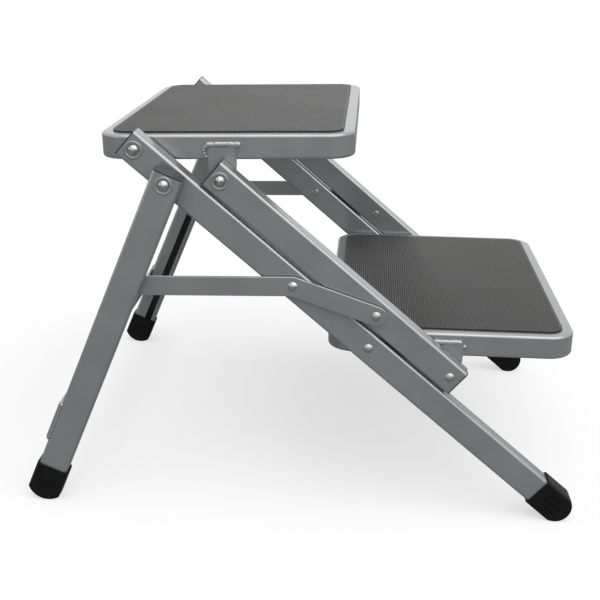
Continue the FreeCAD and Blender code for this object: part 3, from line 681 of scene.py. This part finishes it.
def camera_rays(tree):
    """A tree's Light Path node, and an output that is 1 for rays from the camera, also through glass."""
    ray = add_node(tree, "ShaderNodeLightPath")
    straight = add_node(
        tree,
        "ShaderNodeMath",
        {0: ray.outputs["Is Camera Ray"], 1: ray.outputs["Is Transmission Ray"]},
        operation="MAXIMUM",
    )
    return ray, straight.outputs["Value"]


bpy.ops.object.select_all(action="DESELECT")
bpy.ops.mesh.primitive_plane_add(size=60, location=(0, 0, 0))
floor = bpy.context.object
floor.name = "studio_floor"
floor_paint, tree = new_finish("matt_white_studio_floor")
ray, direct = camera_rays(tree)
mirrored = add_node(
    tree, "ShaderNodeMath", {0: ray.outputs["Is Glossy Ray"], 1: FLOOR_MIRRORED}, operation="MULTIPLY"
)
seen = add_node(tree, "ShaderNodeMath", {0: direct, 1: mirrored.outputs["Value"]}, operation="MAXIMUM")
white = add_node(
    tree,
    "ShaderNodeMix",
    {"Factor": seen.outputs["Value"], 6: srgb(FLOOR_BOUNCE), 7: srgb(FLOOR_SEEN)},
    data_type="RGBA",
)
matt = add_node(tree, "ShaderNodeBsdfDiffuse", {"Color": white.outputs[2]})
lift = add_node(tree, "ShaderNodeMath", {0: seen.outputs["Value"], 1: FLOOR_GLOW}, operation="MULTIPLY")
glow = add_node(tree, "ShaderNodeEmission", {"Strength": lift.outputs["Value"]})
both = add_node(tree, "ShaderNodeAddShader", {0: matt.outputs["BSDF"], 1: glow.outputs["Emission"]})
add_node(tree, "ShaderNodeOutputMaterial", {"Surface": both.outputs["Shader"]})
floor.data.materials.append(floor_paint)
print("floor:", floor.name)

# %% [markdown]
# ## Light
#
# A large softbox hangs above the step, on the camera's side and a little towards the lower tread. A
# wide sun lamp stands in for it, because it lights the floor evenly at any distance. A dim white
# world fills the shadows. The camera and reflections see that world at full white, as the walls of
# a bright studio.

# %% Studio world
WORLD_FILL = 0.42
WORLD_SEEN = 1.0

world = bpy.data.worlds.new("studio_world")
bpy.context.scene.world = world
world.use_nodes = True
tree = world.node_tree
tree.nodes.clear()
ray, direct = camera_rays(tree)
seen = add_node(tree, "ShaderNodeMath", {0: direct, 1: ray.outputs["Is Glossy Ray"]}, operation="MAXIMUM")
strength = add_node(
    tree, "ShaderNodeMapRange", {"Value": seen.outputs["Value"], "To Min": WORLD_FILL, "To Max": WORLD_SEEN}
)
sky = add_node(
    tree, "ShaderNodeBackground", {"Color": srgb("ffffff"), "Strength": strength.outputs["Result"]}
)
add_node(tree, "ShaderNodeOutputWorld", {"Surface": sky.outputs["Background"]})
print("world:", world.name)

# %% Softbox
KEY_ENERGY = 1.9
KEY_SPREAD = math.radians(80)
KEY_TILT = math.radians(26)
KEY_SWING = math.radians(18)

bpy.ops.object.light_add(type="SUN", location=(0, 0, 3))
key = bpy.context.object
key.name = "overhead_softbox"
key.data.energy = KEY_ENERGY
key.data.angle = KEY_SPREAD
key.rotation_euler = (KEY_TILT, KEY_SWING, 0)
print("sun of", key.data.energy)

# %% [markdown]
# ## Camera
#
# The camera's place, lens and turn were worked out from the pivots, feet and tread corners in the
# photograph. It looks at the left side from a little above, and the picture is turned by a couple
# of degrees.

# %% Camera
CAMERA_PLACE = (0.04367, -1.18643, 0.57136)
CAMERA_LENS = 62.012
CAMERA_YAW = math.radians(3.087)
CAMERA_PITCH = math.radians(-19.259)
CAMERA_ROLL = math.radians(2.338)

bpy.ops.object.camera_add(location=CAMERA_PLACE)
camera = bpy.context.object
turn = Matrix.Rotation(CAMERA_YAW, 3, "Z")
turn = turn @ Matrix.Rotation(math.pi / 2 + CAMERA_PITCH, 3, "X")
turn = turn @ Matrix.Rotation(CAMERA_ROLL, 3, "Z")
camera.rotation_euler = turn.to_euler()
camera.data.lens = CAMERA_LENS
camera.data.sensor_width = 36
camera.data.clip_end = 200
bpy.context.scene.camera = camera
bpy.context.scene.view_settings.view_transform = "Standard"
print("lens of", camera.data.lens, "mm")
